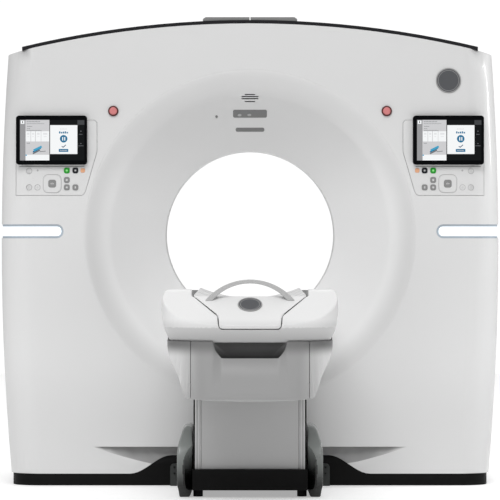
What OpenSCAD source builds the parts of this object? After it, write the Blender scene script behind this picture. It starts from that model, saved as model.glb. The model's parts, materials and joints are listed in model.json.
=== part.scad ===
// Computed tomography scanner: a gantry with a wide funnel bore and a rotating
// measuring unit inside it, and a lifting patient table with a sliding cradle.
// +Z is up, +Y runs from the table into the bore, and the origin lies on the
// floor beneath the centre of the bore. Lengths are millimetres.

/* [Gantry covers] */
// Height of the bore centre above the floor
iso_z = 1080; // [1040:5:1100]
// Inside diameter of the patient bore
bore_d = 750; // [700:10:780]
// Greatest width, over the barrel-curved sides
gantry_w = 2165; // [2100:5:2230]
// Height of the crown of the moulded covers
crown_z = 1997; // [1960:1:2030]
// Depth between the front and rear faces
gantry_depth = 1050; // [1000:10:1120]
// Radius of the barrel curve of the sides
side_r = 11400; // [9000:100:14000]
// Height of the widest point of the sides
waist_z = 1040; // [1030:2:1060]
// Radius of the domed top
dome_r = 4230; // [3800:10:4800]
// Rounding of the upright edges
edge_r = 140; // [100:5:170]
// Wall of the moulded covers
cover_wall = 8; // [6:1:10]
// Joint line between neighbouring covers
seam = 0.6; // [0.4:0.1:0.8]
// Half depth of the side covers, where the front and rear covers start
side_half_depth = 250; // [220:5:280]

/* [Funnel] */
// Diameter of the crease where the funnel leaves the front face
funnel_d = 1414; // [1380:2:1440]
// Diameter where the straight cone turns into the flare
flare_d = 1240; // [1200:10:1280]
// Depth of the flare
flare_depth = 60; // [50:2:75]
// Depth from the front face to the throat
funnel_depth = 430; // [400:5:450]
// Diameter of the rear funnel at the rear face
rear_funnel_d = 1160; // [1100:10:1240]
// Depth of the rear funnel
rear_funnel_depth = 320; // [290:5:330]

/* [Foot of the gantry] */
// Height of the black foot trim
skirt_h = 50; // [40:2:60]
// Height of the trim's hump under the table
hump_h = 128; // [110:2:140]
// Half width of the hump's flat top
hump_half = 340; // [320:5:360]
// Half width where the hump has run out
hump_end = 520; // [480:5:560]
// Height of the sharp upper edge of the foot scoop
scoop_z = 167; // [155:1:180]
// Greatest depth of the foot scoop
scoop_depth = 90; // [60:5:100]
// Half width of the foot scoop
scoop_half = 760; // [700:10:800]
// Half width of the foot trim
plinth_half = 1030; // [1010:2:1034]

/* [Top] */
// Thickness of the dark top cover
top_t = 15; // [12:1:18]
// Half width of the dark top cover
top_half = 986; // [940:2:1000]
// Height of the vent cap above the crown
vent_h = 28; // [24:1:34]
// Half width of the vent cap
vent_half = 204; // [180:2:230]

/* [Controls] */
// Width of a display
display_w = 307; // [290:1:315]
// Height of a display
display_h = 212; // [200:1:220]
// Thickness of a display housing
display_t = 24; // [18:1:30]
// Distance of the display centres from the middle plane
display_x = 857; // [850:1:862]
// Height of the display centres
display_z = 1492; // [1485:1:1500]
// Border of the display around its glass
display_border = 3; // [2:0.5:4]
// Height of the upper key row
key_row_z = 1361; // [1355:1:1366]
// Width of a small key
key_w = 25; // [20:1:26]
// Width of the table pad
pad_w = 76; // [60:1:80]
// Clearance around each key
key_gap = 0.3; // [0.2:0.05:0.5]
// Travel of a key
key_travel = 1.5; // [1:0.1:2]
// Height of the keys above the panel
key_proud = 2.5; // [2:0.1:4]
// Distance of the stop buttons from the middle plane
stop_x = 591; // [585:1:600]
// Height of the stop buttons
stop_z = 1618; // [1610:1:1630]
// Radius of a stop button
stop_r = 16.5; // [14:0.5:18]
// Height of the light bars
light_z = 1098; // [1080:1:1110]
// Height of a light bar's lens
light_h = 41; // [36:1:46]
// Height of the groove that holds the lens
light_groove_h = 60; // [54:1:66]
// Distance of the light grooves' inner ends from the middle plane
light_x = 806; // [780:1:840]

/* [Measuring unit] */
// Outer radius of the rotating drum
drum_r = 800; // [780:5:820]
// Radius of the drive pulley
pulley_r = 60; // [50:1:70]
// Distance from the bore centre to the focal spot
focus_r = 540; // [520:5:560]
// Distance from the focal spot to the detector
detector_r = 950; // [930:5:970]
// Half of the fan angle that the detector spans
fan_half = 27; // [24:1:28]
// Running clearance between turning and fixed rings
ring_gap = 0.3; // [0.3:0.1:1]
// Distance between the gantry's floor anchors across
anchor_x = 1700; // [1500:20:1760]
// Distance between the gantry's floor anchors along the bore
anchor_y = 700; // [600:10:760]
// Radius of the gantry's anchor holes
anchor_r = 9; // [7:0.5:12]
// Radial clearance of the pulley shaft
shaft_gap = 0.05; // [0.02:0.01:0.1]

/* [Table base] */
// Clearance between seated neighbours
seat_gap = 0.3; // [0.2:0.1:0.5]
// Length of the table base
base_l = 780; // [740:10:820]
// Ground clearance of the table base
base_z0 = 29; // [20:1:35]
// Height of the table base's top
base_z1 = 115; // [105:1:125]
// Half width between the fenders
base_half = 238; // [236:1:242]
// Thickness of a fender
fender_w = 63; // [50:1:66]
// Height of a fender
fender_h = 294; // [270:2:310]
// Distance between the table's floor anchors across
table_anchor_x = 430; // [300:10:434]
// Distance between the table's floor anchors along the table
table_anchor_y = 600; // [500:10:660]
// Radius of the table's anchor holes
table_anchor_r = 7; // [5:0.5:9]

/* [Lifting column] */
// Half width of the outer column stage
column_half = 226; // [215:1:230]
// Depth of the outer column stage
column_d = 540; // [500:5:560]
// Top of the outer column stage
column_top = 420; // [400:5:430]
// Wall of the column stages
column_wall = 8; // [6:1:10]
// Sliding clearance between the column stages
column_gap = 0.5; // [0.4:0.1:1]
// Travel of the table below the drawn height
lift_down = 280; // [200:10:280]
// Travel of the table above the drawn height
lift_up = 100; // [60:10:100]

/* [Table top] */
// Distance from the gantry face to the foot end of the table
table_reach = 2250; // [2100:10:2350]
// Distance from the gantry face to the head end of the table
head_gap = 35; // [30:1:45]
// Underside of the table frame
frame_z = 715; // [710:1:716]
// Top of the cradle's rims
rim_z = 855; // [850:1:862]
// Half width of the cradle
cradle_half = 212.5; // [205:0.5:213]
// Depth of the cradle's hollow
dish = 43; // [38:1:46]
// Travel of the cradle into the bore
cradle_travel = 1700; // [1400:50:1700]
// Greatest half width of the foot bezel
bezel_half = 334; // [326:1:340]
// Length of the foot bezel
bezel_l = 325; // [310:5:340]
// Height of the crease around the foot bezel
crease_z = 735; // [733:1:742]
// Height of the foot bezel's shoulders
shoulder_z = 876; // [870:1:884]
// Underside of the foot bezel
bezel_z0 = 679; // [676:1:684]
// Lowest point of the belly covers
belly_z = 455; // [445:1:470]
// Wall of the table covers
table_wall = 6; // [4:1:8]
// Half width of the front panel between its seams
panel_half = 222; // [210:1:228]

/* [Hidden] */
$fn = 96;
big_fn = 256;
half_d = gantry_depth / 2;
front_y = -half_d;
rear_y = half_d;
bore_r = bore_d / 2;
throat_y = front_y + funnel_depth;
rear_throat_y = rear_y - rear_funnel_depth;
far = 3000;
barrel_sweep = 6.9;
side_limit = side_half_depth - seam / 2;

// Drum and its neighbours along the bore axis
disc_y0 = 90;
disc_y1 = 140;
rim_y0 = 55;
stator_y0 = 205;
stator_y1 = 250;
race_y0 = 150;
drum_hole_r = bore_r + 25;
journal_r = 470;
race_r = 540;
stator_hole_r = 480;
stator_r = 880;
floor_plate_t = 60;
// The generator and the cooler hang this far below the level, to balance the tube
low_angle = 14;
unit_r = 530;
unit_depth = 240;
generator_h = 210;
generator_l = 370;
cooler_h = 185;
cooler_l = 360;
stator_foot_half = 900;
slip_r0 = 560;
slip_r1 = 700;
slip_y1 = 185;

// Belt drive: the motor stands low on the left of the frame
motor_x = -700;
motor_z = 250;
motor_r = 90;
motor_y0 = 112;
shaft_r = 14;
belt_y0 = 62;
belt_y1 = 104;
belt_t = 5;
belt_gap = 0.9;

// Control panel outline, from the middle plane outwards
panel_top = 1578;
panel_bottom = 1254;
panel_out = 1012;
panel_in_top = 662;
panel_in_low = 720;
panel_gap = 1.5;
green_x = 792;
dark_x = 755;
lamp_x = 723;
pad_x = 855;
pad_z = 1304;
low_row_z = 1288;
mid_row_z = 1320;

SIDES = [["left", -1], ["right", 1]];
// Each key's name, distance from the middle plane, height and width
KEYS = [
    ["key_green", green_x, key_row_z, key_w],
    ["key_dark", dark_x, key_row_z, key_w],
    ["key_in", green_x, mid_row_z, key_w],
    ["key_up", green_x, low_row_z, key_w],
    ["key_down", dark_x, low_row_z, key_w],
    ["key_pad", pad_x, pad_z, pad_w]
];

// Table stations along Y
base_y1 = front_y - seat_gap;
base_y0 = base_y1 - base_l;
base_mid_y = (base_y0 + base_y1) / 2;
dock_l = 42;
anchor_foot_r = 20;
dock_half = 344;
dock_h = 95;
dock_edge = 16;
column_y0 = base_y0 + 40;
column_y1 = column_y0 + column_d;
foot_y = front_y - table_reach;
head_y = front_y - head_gap;
bezel_y1 = foot_y + bezel_l;
hood_z0 = crease_z + 10;
hood_slope = 0.64;
bezel_tuck = 46;
ridge_y = foot_y + (rim_z - 1 - hood_z0) / hood_slope;
shoulder_y = foot_y + (shoulder_z - hood_z0) / hood_slope;
cradle_y0 = ridge_y + seat_gap;
cap_gap = 2.5;
cap_half = 218;
channel_half = cap_half + cap_gap + 0.5;
bearer_z = 795;
bearer_x = 145;
bearer_w = 53;
keel_half = 122;
keel_z = 765;
frame_t = 12;
mid_z0 = 270;
mid_z1 = 560;
inner_z0 = 410;
belly_y0 = foot_y + 35;
belly_y1 = base_y0 - 30;
skirt_z = 620;
rail_top = 845;
rail_half = 310;
frame_half = rail_half - table_wall - seat_gap;
frame_front_half = 288;
drive_y0 = foot_y + 625;
drive_w = 180;
drive_l = 320;
drive_h = 60;

// Joint between the front panel and the side covers
panel_seam = 2;

// Grip recess in the front panel
recess_half = 138;
recess_z0 = 620;
recess_depth = 60;

function arc(c, r, a0, a1, n) =
    [for (i = [0:n]) let (a = a0 + (a1 - a0) * i / n) [c[0] + r * cos(a), c[1] + r * sin(a)]];

// A smooth line through a few points, with n steps between each two
function bend(p, n) =
    let (last = len(p) - 1)
    concat(
        [for (i = [0:last - 1], k = [0:n - 1])
            let (t = k / n, a = p[max(i - 1, 0)], b = p[i], c = p[i + 1], d = p[min(i + 2, last)])
            (2 * b + (c - a) * t + (2 * a - 5 * b + 4 * c - d) * t * t
             + (3 * b - a - 3 * c + d) * t * t * t) / 2],
        [p[last]]
    );

// A line moved to its right hand by a distance
function beside(p, t) =
    [for (i = [0:len(p) - 1])
        let (d = p[min(i + 1, len(p) - 1)] - p[max(i - 1, 0)])
        p[i] + t / norm(d) * [d[1], -d[0]]];

// Both halves of an outline that is drawn from the top middle to the bottom middle
function both_halves(p) =
    concat(p, [for (i = [len(p) - 1:-1:0]) if (p[i][0] > 0) [-p[i][0], p[i][1]]]);

// Extrudes an outline drawn in X and Z along Y
module along_y(y0, y1) {
    translate([0, y1, 0]) rotate([90, 0, 0]) linear_extrude(y1 - y0) children();
}

// Extrudes an outline drawn in Y and Z along X
module along_x(x0, x1) {
    translate([x0, 0, 0]) rotate([90, 0, 90]) linear_extrude(x1 - x0) children();
}

// Puts a turned shape on the bore axis, its own Z along +Y
module on_bore() {
    translate([0, 0, iso_z]) rotate([-90, 0, 0]) children();
}

module ring(r0, r1, y0, y1) {
    on_bore() translate([0, 0, y0]) difference() {
        cylinder(r = r1, h = y1 - y0);
        translate([0, 0, -1]) cylinder(r = r0, h = y1 - y0 + 2);
    }
}

module mirrored(side) {
    if (side < 0) mirror([1, 0, 0]) children();
    else children();
}

// Half of the gantry's depth section, as swept round the barrel curve
module barrel_section(inset) {
    r = side_r - inset;
    h = half_d - inset;
    e = edge_r - inset;
    polygon(concat(
        [[side_r - gantry_w - 300, -h]],
        arc([r - e, -h + e], e, -90, 0, 9),
        arc([r - e, h - e], e, 0, 90, 9),
        [[side_r - gantry_w - 300, h]]
    ));
}

module barrel(inset) {
    translate([gantry_w / 2 - side_r, 0, waist_z]) rotate([-90, 0, 0])
        rotate([0, 0, -barrel_sweep]) rotate_extrude(angle = 2 * barrel_sweep, $fn = big_fn)
            barrel_section(inset);
}

// The gantry's outer form, or its form inset by a wall
module gantry_form(inset, z0) {
    intersection() {
        barrel(inset);
        mirror([1, 0, 0]) barrel(inset);
        translate([0, far / 2, crown_z - dome_r]) rotate([90, 0, 0])
            cylinder(r = dome_r - inset, h = far, $fn = big_fn);
        translate([-far / 2, -far / 2, z0]) cube([far, far, far]);
    }
}

// Undercut at the foot of the front face: its roof is flat, and its back
// leans forward as it goes down and runs out to both sides in plan
module scoop(inset) {
    lean = 0.75;
    r = (pow(scoop_half, 2) + pow(scoop_depth, 2)) / (2 * scoop_depth);
    intersection() {
        translate([0, front_y + scoop_depth, scoop_z]) rotate([-atan(lean), 0, 0])
            translate([0, -r, 0]) cylinder(r = r + inset, h = 900, center = true, $fn = big_fn);
        translate([-far / 2, front_y - 400, -400]) cube([far, 800, 400 + scoop_z + inset]);
    }
}

module gantry_shell() {
    difference() {
        gantry_form(0, 0);
        scoop(0);
        difference() {
            gantry_form(cover_wall, -5);
            scoop(cover_wall);
        }
    }
}

function hump_z(x) =
    skirt_h + (hump_h - skirt_h) * (1 + cos(180 * (x - hump_half) / (hump_end - hump_half))) / 2;

// Upper edge of the hump from left to right, raised by a gap
function hump_line(gap) =
    let (n = 10, run = [for (i = [0:n]) hump_half + (hump_end - hump_half) * i / n])
    concat(
        [for (i = [n:-1:0]) [-run[i], hump_z(run[i]) + gap]],
        [for (i = [0:n]) [run[i], hump_z(run[i]) + gap]]
    );

// What the black trim takes from the foot of the covers, grown by a gap
module skirt_zone(gap) {
    along_y(front_y - 50, -side_half_depth) polygon(concat(
        [[-far / 2, -20], [-far / 2, skirt_h + gap]], hump_line(gap),
        [[far / 2, skirt_h + gap], [far / 2, -20]]
    ));
    translate([-far / 2, -side_half_depth - 1, -20]) cube([far, far, 20 + skirt_h + gap]);
}

cone_slope = (flare_d / 2 - bore_r) / (funnel_depth - flare_depth);
cone_side = cover_wall * sqrt(1 + cone_slope * cone_slope);

// Points down the front funnel as radius and Y: the flare, the cone and the throat's lip
function funnel_points() =
    let (a = [funnel_d / 2, 0],
         b = [flare_d / 2 + 12 * cone_slope, flare_depth - 12],
         c = [flare_d / 2 - 30 * cone_slope, flare_depth + 30],
         lip = bore_r + 10)
    concat(
        [for (i = [0:8]) let (t = i / 8)
            [0, front_y] + (1 - t) * (1 - t) * a + 2 * t * (1 - t) * b + t * t * c],
        [[lip, throat_y - 13], [bore_r + 3, throat_y - 5], [bore_r, throat_y]]
    );

module funnel_wall() {
    inner = funnel_points();
    n = len(inner);
    rim = funnel_d / 2 + cone_side;
    on_bore() rotate_extrude() polygon(concat(
        inner,
        [[bore_r + cover_wall, throat_y]],
        [for (i = [n - 3:-1:2]) inner[i] + [cone_side, 0]],
        [[rim, front_y + cover_wall], [rim, front_y]]
    ));
}

// The round hole in a cover that takes a funnel of radius r
module funnel_hole(r, y) {
    translate([0, y - 2 * cover_wall, iso_z]) rotate([-90, 0, 0])
        cylinder(r = r + seat_gap, h = 4 * cover_wall);
}

module panel_outline(grow) {
    // Walked from the upper outer corner inwards and down
    c = 10;
    polygon([
        [panel_out + grow, panel_top + grow],
        [panel_in_top + c - grow / 2, panel_top + grow],
        [panel_in_top - grow, panel_top - c + grow / 2],
        [panel_in_top - grow, panel_bottom + 190 - grow],
        [panel_in_low - 8 - grow, panel_bottom + 17],
        [panel_in_low - grow / 2, panel_bottom + 4 - grow],
        [panel_in_low + 9, panel_bottom - grow],
        [panel_out + grow, panel_bottom - grow]
    ]);
}

module panel_zone(side, grow) {
    mirrored(side) along_y(front_y - 60, -half_d + edge_r) panel_outline(grow);
}

module rounded_slot(w, h, r) {
    polygon(concat(
        arc([w - r, h / 2 - r], r, 0, 90, 5),
        arc([r, h / 2 - r], r, 90, 180, 5),
        arc([r, -h / 2 + r], r, 180, 270, 5),
        arc([w - r, -h / 2 + r], r, 270, 360, 5)
    ));
}

// The strip of the gantry's skin that a light groove or its lens takes up
module light_strip(x, h, inset0, inset1) {
    intersection() {
        difference() {
            gantry_form(inset0, 0);
            gantry_form(inset1, -5);
        }
        along_y(front_y - 5, -side_half_depth - 30) translate([x, light_z])
            rounded_slot(600, h, h / 2 - 1);
    }
}

// Windows in the funnel's crown, as half width, lower and upper edge, and the sensor's eye
module indicator_zone(grow) {
    along_y(front_y, throat_y) {
        for (w = [[74, 516, 549], [63, 457, 474]])
            translate([-w[0] - grow, iso_z + (w[1] + w[2]) / 2])
                rounded_slot(2 * (w[0] + grow), w[2] - w[1] + 2 * grow, 7 + grow);
        translate([-146, iso_z + 520]) circle(r = 5.5 + grow, $fn = 24);
    }
}

// Slots of the speaker above the windows, as half width and distance from the axis
module speaker_slots() {
    t = 4.6;
    along_y(front_y, throat_y)
        for (w = [[23, 612], [37, 603.6], [37, 595], [23, 583.3]])
            translate([-w[0], iso_z + w[1]]) rounded_slot(2 * w[0], t, t / 2 - 0.1);
}

module front_funnel() {
    color("gainsboro") difference() {
        funnel_wall();
        indicator_zone(0.3);
        speaker_slots();
    }
}

module front_cover() {
    color("gainsboro") difference() {
        intersection() {
            gantry_shell();
            translate([-far / 2, -far / 2, 0])
                cube([far, far / 2 - side_half_depth - seam / 2, far]);
        }
        funnel_hole(funnel_d / 2 + cone_side, front_y);
        skirt_zone(seam);
        for (s = [-1, 1]) {
            panel_zone(s, panel_gap);
            mirrored(s) light_strip(light_x, light_groove_h, -2, cover_wall / 2);
            translate([s * stop_x, front_y - 1, stop_z]) rotate([-90, 0, 0])
                cylinder(r = stop_r + 0.5, h = cover_wall + 2);
        }
    }
}

module rear_funnel() {
    w = cover_wall;
    r1 = rear_funnel_d / 2;
    flare = bend([[r1, rear_y], [r1 - 22, rear_y - 18], [r1 - 40, rear_y - 46]], 4);
    color("gainsboro") on_bore() rotate_extrude() polygon(concat(
        [[bore_r, rear_throat_y], [bore_r + w, rear_throat_y],
         [bore_r + 12 + w, rear_throat_y + 20], [r1 - 40 + w, rear_y - 50],
         [r1 + w, rear_y - w], [r1 + w, rear_y]],
        flare,
        [[bore_r + 12, rear_throat_y + 20]]
    ));
}

module rear_cover() {
    color("gainsboro") difference() {
        intersection() {
            gantry_shell();
            translate([-far / 2, side_half_depth + seam / 2, 0]) cube([far, far, far]);
        }
        funnel_hole(rear_funnel_d / 2 + cover_wall, rear_y);
        skirt_zone(seam);
    }
}

module side_cover(side) {
    color("gainsboro") mirrored(-side) difference() {
        intersection() {
            gantry_shell();
            translate([-far, -side_limit, 0]) cube([far - top_half + 60, 2 * side_limit, far]);
        }
        skirt_zone(seam);
    }
}

// Plan of the foot trim: straight sides and rounded corners
module plinth_plan(inset) {
    x = plinth_half - inset;
    y = half_d - inset;
    e = edge_r - 20 - inset;
    polygon(concat(
        arc([x - e, y - e], e, 0, 90, 9), arc([-x + e, y - e], e, 90, 180, 9),
        arc([-x + e, -y + e], e, 180, 270, 9), arc([x - e, -y + e], e, 270, 360, 9)
    ));
}

module base_skirt() {
    color("dimgray") union() {
        linear_extrude(skirt_h) difference() {
            plinth_plan(0);
            plinth_plan(cover_wall);
        }
        // The hump lines the foot scoop with the same wall as the covers
        intersection() {
            along_y(front_y, front_y + scoop_depth + 2 * cover_wall) polygon(concat(
                [[-hump_end, skirt_h - 1]], hump_line(0), [[hump_end, skirt_h - 1]]
            ));
            difference() {
                union() {
                    scoop(cover_wall);
                    translate([-hump_end - 5, front_y - 1, 0])
                        cube([2 * hump_end + 10, cover_wall + 1, scoop_z]);
                }
                scoop(0);
            }
        }
    }
}

module dome_slab(z0, z1, x, y) {
    intersection() {
        along_y(-y, y) difference() {
            translate([0, crown_z - dome_r]) circle(r = dome_r + z1, $fn = big_fn);
            translate([0, crown_z - dome_r]) circle(r = dome_r + z0, $fn = big_fn);
        }
        translate([-x, -far / 2, crown_z - 300]) cube([2 * x, far, 600]);
    }
}

module top_cover() {
    color("black") dome_slab(ring_gap, ring_gap + top_t, top_half, half_d - 8);
}

// Height of the top cover's outer face at a distance from the middle plane
function dome_z(x) = crown_z - dome_r + sqrt(pow(dome_r + top_t + ring_gap, 2) - x * x);

module vent_cap() {
    z1 = crown_z + vent_h;
    lift = 2 * ring_gap;
    slots = 14;
    pitch = 46;
    color("gray") difference() {
        along_y(-half_d + 14, half_d - 330) polygon(concat(
            [for (x = [-vent_half:vent_half / 2:vent_half]) [x, dome_z(x) + lift]],
            [[vent_half, z1 - 8], [vent_half - 12, z1], [-vent_half + 12, z1],
             [-vent_half, z1 - 8]]
        ));
        // The cap is in two halves with an open joint along the middle
        translate([-2, -far / 2, crown_z]) cube([4, far, 100]);
        for (i = [0:slots - 1])
            translate([-vent_half + 40, -half_d + 60 + i * pitch, z1 - 7])
                cube([2 * vent_half - 80, 16, 20]);
    }
}

module light_bars() {
    color("white") for (s = [-1, 1])
        mirrored(s) light_strip(light_x + (light_groove_h - light_h) / 2, light_h,
                                1.5, cover_wall / 2 - 0.1);
}

module display(side) {
    r = 13;
    color("black") difference() {
        translate([side * display_x - display_w / 2, 0, display_z])
            along_y(front_y - display_t - 0.3, front_y - 0.3)
                rounded_slot(display_w, display_h, r);
        translate([side * display_x - display_w / 2 + display_border, 0, display_z])
            along_y(front_y - display_t - 1, front_y - display_t - 0.3 + 2)
                rounded_slot(display_w - 2 * display_border, display_h - 2 * display_border,
                             r - display_border);
    }
}

module display_glass() {
    b = display_border + 0.3;
    color("darkslategray") for (s = [-1, 1])
        translate([s * display_x - display_w / 2 + b, 0, display_z])
            along_y(front_y - display_t - 0.3, front_y - display_t - 0.3 + 1.9)
                rounded_slot(display_w - 2 * b, display_h - 2 * b, 13 - b);
}

module key_shape(w) {
    translate([-w / 2, 0]) rounded_slot(w, w, w / 3);
}

module control_panel(side) {
    color("whitesmoke") difference() {
        intersection() {
            difference() {
                gantry_form(0, 0);
                gantry_form(cover_wall, -5);
            }
            panel_zone(side, 0);
        }
        for (k = KEYS)
            translate([side * k[1], 0, k[2]]) along_y(front_y - 5, front_y + 20)
                key_shape(k[3] + 2 * key_gap);
        translate([side * lamp_x, 0, key_row_z]) along_y(front_y - 5, front_y + 20)
            key_shape(key_w - 6 + 2 * key_gap);
    }
}

module key(k, side) {
    big = k[3] > 2 * key_w;
    color(k[0] == "key_green" ? "limegreen" : "silver") translate([side * k[1], 0, k[2]])
        difference() {
            along_y(front_y - key_proud, front_y + cover_wall - 2) key_shape(k[3]);
            if (big) along_y(front_y - key_proud - 1, front_y - key_proud + 1.2)
                key_shape(35);
        }
}

// Panes in the funnel's crown, and the lamp on each control panel
module indicator_windows() {
    color("dimgray") union() {
        intersection() {
            funnel_wall();
            indicator_zone(0);
        }
        for (s = [-1, 1]) translate([s * lamp_x, 0, key_row_z])
            along_y(front_y - 1, front_y + cover_wall - 2) key_shape(key_w - 6);
    }
}

module stop_collars() {
    color("darkred") for (s = [-1, 1])
        translate([s * stop_x, front_y, stop_z]) rotate([90, 0, 0]) rotate_extrude() polygon([
            [stop_r + 0.5, 0], [stop_r + 6, 0], [stop_r + 6, 7], [stop_r + 3, 11],
            [stop_r + 0.5, 11]
        ]);
}

module stop_button(side) {
    color("lightcoral") translate([side * stop_x, front_y, stop_z]) rotate([90, 0, 0])
        rotate_extrude() polygon([
            [0, -5], [stop_r, -5], [stop_r, 13], [stop_r - 3, 16], [0, 16.5]
        ]);
}

module gantry_base() {
    x = plinth_half - cover_wall - seat_gap;
    color("slategray") difference() {
        // Side beams, with cross beams at the front and rear and under the stator
        intersection() {
            union() {
                for (s = [-1, 1]) {
                    translate([s * (x - 110) - 110, -half_d, 0]) cube([220, gantry_depth, floor_plate_t]);
                    translate([-x, s * (half_d - 90) - 60, 0]) cube([2 * x, 120, skirt_h - 10]);
                }
                translate([-x, stator_y0 - 60, 0]) cube([2 * x, 150, floor_plate_t]);
            }
            union() {
                translate([0, 0, -1]) linear_extrude(skirt_h - 5) plinth_plan(cover_wall + seat_gap);
                linear_extrude(200) plinth_plan(2 * cover_wall);
            }
        }
        for (s = [-1, 1], t = [-1, 1])
            translate([s * anchor_x / 2, t * anchor_y / 2, -1]) cylinder(r = anchor_r, h = 100);
    }
}

// Upright plate that carries the bearing, with the brush block on its front
module stator_frame() {
    color("steelblue") union() {
        difference() {
            along_y(stator_y0, stator_y1) difference() {
                union() {
                    translate([0, iso_z]) circle(r = stator_r, $fn = 180);
                    polygon([
                        [-stator_foot_half, floor_plate_t], [stator_foot_half, floor_plate_t],
                        [stator_r - 60, iso_z], [-stator_r + 60, iso_z]
                    ]);
                }
                translate([0, iso_z]) circle(r = stator_hole_r, $fn = 180);
            }
            // Cable window through the foot of the plate
            translate([-150, stator_y0 - 1, floor_plate_t + 20]) cube([300, 100, 90]);
            translate([motor_x, stator_y0 - 1, motor_z]) rotate([-90, 0, 0])
                cylinder(r = shaft_r + 6, h = 100);
        }
        translate([0, 0, iso_z]) rotate([0, 45, 0])
            translate([slip_r0, slip_y1 + ring_gap, -60])
                cube([slip_r1 - slip_r0, stator_y0 - slip_y1 - ring_gap + 1, 120]);
    }
}

module bearing_race() {
    color("silver") ring(journal_r + ring_gap, race_r, race_y0, stator_y0);
}

module bore_liner() {
    color("white") ring(bore_r, bore_r + cover_wall - 2, throat_y + seam, rear_throat_y - seam);
}

module rotor_drum() {
    color("lightsteelblue") on_bore() difference() {
        union() {
            translate([0, 0, disc_y0]) cylinder(r = drum_r, h = disc_y1 - disc_y0, $fn = 180);
            translate([0, 0, rim_y0]) cylinder(r = drum_r, h = disc_y0 - rim_y0 + 1, $fn = 180);
            translate([0, 0, disc_y1 - 1])
                cylinder(r = journal_r, h = stator_y0 - 5 - disc_y1, $fn = 180);
        }
        translate([0, 0, rim_y0 - 1]) cylinder(r = drum_r - 25, h = disc_y0 - rim_y0 + 1, $fn = 180);
        translate([0, 0, 0]) cylinder(r = drum_hole_r, h = 400, $fn = 180);
        translate([0, 0, disc_y1 + 12]) cylinder(r = journal_r - 30, h = 200, $fn = 180);
    }
}

module slip_ring() {
    color("goldenrod") difference() {
        ring(slip_r0, slip_r1, disc_y1, slip_y1);
        for (i = [0:4]) ring(slip_r0 + 15 + i * 26, slip_r0 + 27 + i * 26, slip_y1 - 3, slip_y1 + 5);
    }
}

// Everything below is bolted to the front face of the drum's disc
module on_disc(angle, r, depth) {
    translate([0, 0, iso_z]) rotate([0, -angle, 0]) translate([r, disc_y0 - depth, 0]) children();
}

module xray_tube() {
    color("darkgray") on_disc(90, focus_r + 115, 330) rotate([-90, 0, 0]) union() {
        translate([0, 0, 60]) cylinder(r = 105, h = 270);
        cylinder(r = 80, h = 61);
        translate([0, 0, 130]) cylinder(r = 112, h = 24);
    }
}

module collimator() {
    t = 90;
    color("dimgray") translate([0, 0, iso_z + focus_r - t + 8]) difference() {
        along_y(-70, disc_y0) polygon([[-70, 0], [70, 0], [52, t - 8], [-52, t - 8]]);
        along_y(-25, 25) polygon([[-55, -1], [55, -1], [12, t], [-12, t]]);
    }
}

module hv_generator() {
    fins = 8;
    pitch = generator_l / fins;
    color("slategray") on_disc(180 + low_angle, unit_r, unit_depth) union() {
        translate([0, 0, -generator_l / 2]) cube([generator_h, unit_depth, generator_l]);
        for (i = [0:fins - 1])
            translate([30, -18, (i + 0.4) * pitch - generator_l / 2])
                cube([generator_h - 60, 19, 12]);
    }
}

module detector_arc() {
    color("lightslategray") translate([0, -70, iso_z + focus_r]) rotate([-90, 0, 0])
        rotate([0, 0, 90 - fan_half]) rotate_extrude(angle = 2 * fan_half, $fn = 180) polygon([
            [detector_r, 0], [detector_r + 60, 0], [detector_r + 60, disc_y0 + 70],
            [detector_r, disc_y0 + 70]
        ]);
}

module cooler() {
    fins = 14;
    pitch = cooler_l / fins;
    color("gray") on_disc(-low_angle, unit_r, unit_depth) union() {
        translate([0, 0, -cooler_l / 2]) cube([cooler_h, unit_depth, cooler_l]);
        for (i = [0:fins - 1])
            translate([cooler_h - 1, 20, (i + 0.3) * pitch - cooler_l / 2])
                cube([31, unit_depth - 40, 8]);
    }
}

module drive_motor() {
    color("darkslategray") difference() {
        translate([motor_x, motor_y0, motor_z]) rotate([-90, 0, 0])
            cylinder(r = motor_r, h = stator_y0 - motor_y0);
        translate([motor_x, motor_y0 - 1, motor_z]) rotate([-90, 0, 0])
            cylinder(r = shaft_r + shaft_gap, h = stator_y0 - motor_y0 - 14);
    }
}

module motor_pulley() {
    color("silver") translate([motor_x, 0, motor_z]) rotate([-90, 0, 0]) union() {
        translate([0, 0, belt_y0 - 4]) cylinder(r = pulley_r, h = belt_y1 - belt_y0 + 6);
        translate([0, 0, belt_y0]) cylinder(r = shaft_r, h = 120);
    }
}

// Outline of the belt's inner or outer face round the drum and the pulley
module belt_outline(grow) {
    dx = motor_x;
    dz = motor_z - iso_z;
    span = sqrt(dx * dx + dz * dz);
    heading = atan2(dz, dx);
    spread = acos((drum_r - pulley_r) / span);
    polygon(concat(
        arc([0, iso_z], drum_r + grow, heading + spread, heading + 360 - spread, 90),
        arc([motor_x, motor_z], pulley_r + grow, heading - spread, heading + spread, 12)
    ));
}

module drive_belt() {
    color("black") along_y(belt_y0, belt_y1) difference() {
        belt_outline(belt_gap + belt_t);
        belt_outline(belt_gap);
    }
}

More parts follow.
